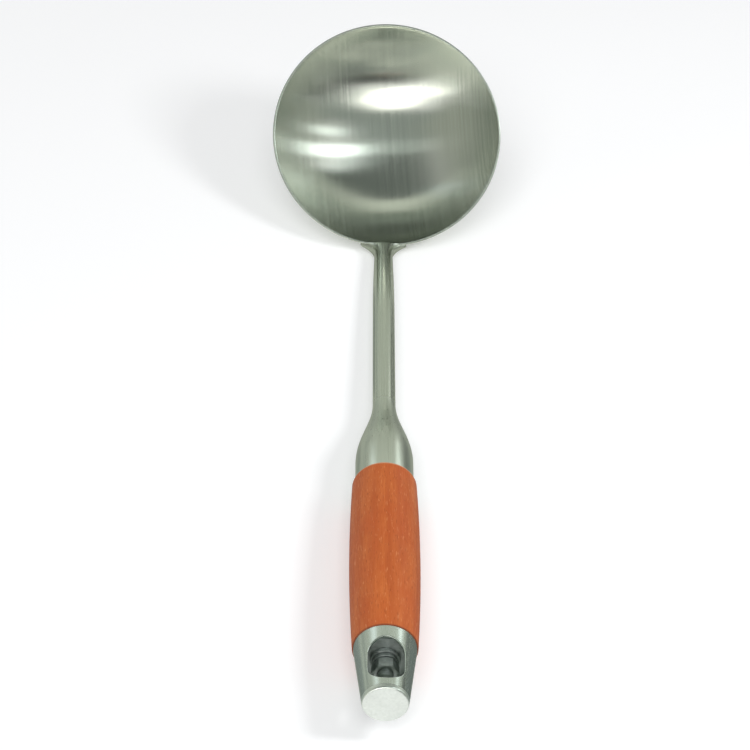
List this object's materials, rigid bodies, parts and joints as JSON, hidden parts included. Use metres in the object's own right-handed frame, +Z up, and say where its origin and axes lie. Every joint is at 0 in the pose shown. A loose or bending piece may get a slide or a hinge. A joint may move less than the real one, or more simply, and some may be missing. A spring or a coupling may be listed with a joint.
{
  "type": "wok ladle",
  "caption": "Round steel ladle with a shallow bowl, a slender tube neck, a bell ferrule, a turned wooden grip and a tapered end cap with a hanging slot.",
  "frame": {"origin": "on the surface that the ladle lies on, at the middle of its footprint's bounding box", "axes": "+Z up from that surface, +Y along the ladle from the butt of the handle towards the bowl, X across the handle"},
  "size_m": [0.115, 0.415, 0.0829],
  "materials": {
    "bowl_steel": "satin, fine straight brush lines across the bowl",
    "handle_steel": "satin, brushed along the handle",
    "disc_steel": "fine turned finish, brushed round the centre",
    "weld_steel": "dressed weld, slightly browned by heat",
    "hardware_steel": "plain dull steel",
    "grip_wood": "orange-red hardwood, fine grain along the handle, thin oil finish"
  },
  "bodies": {
    "root": {"bowl": "bowl_steel", "neck": "handle_steel", "bowl_weld": "weld_steel", "front_ferrule": "handle_steel", "rod_anchor": "hardware_steel", "tie_rod": "hardware_steel", "grip": "grip_wood", "end_cap": "handle_steel", "cap_bulkhead": "hardware_steel", "nut_washer": "hardware_steel", "lock_washer": "hardware_steel", "rod_nut": "hardware_steel", "end_disc": "disc_steel"}
  },
  "joints": []
}
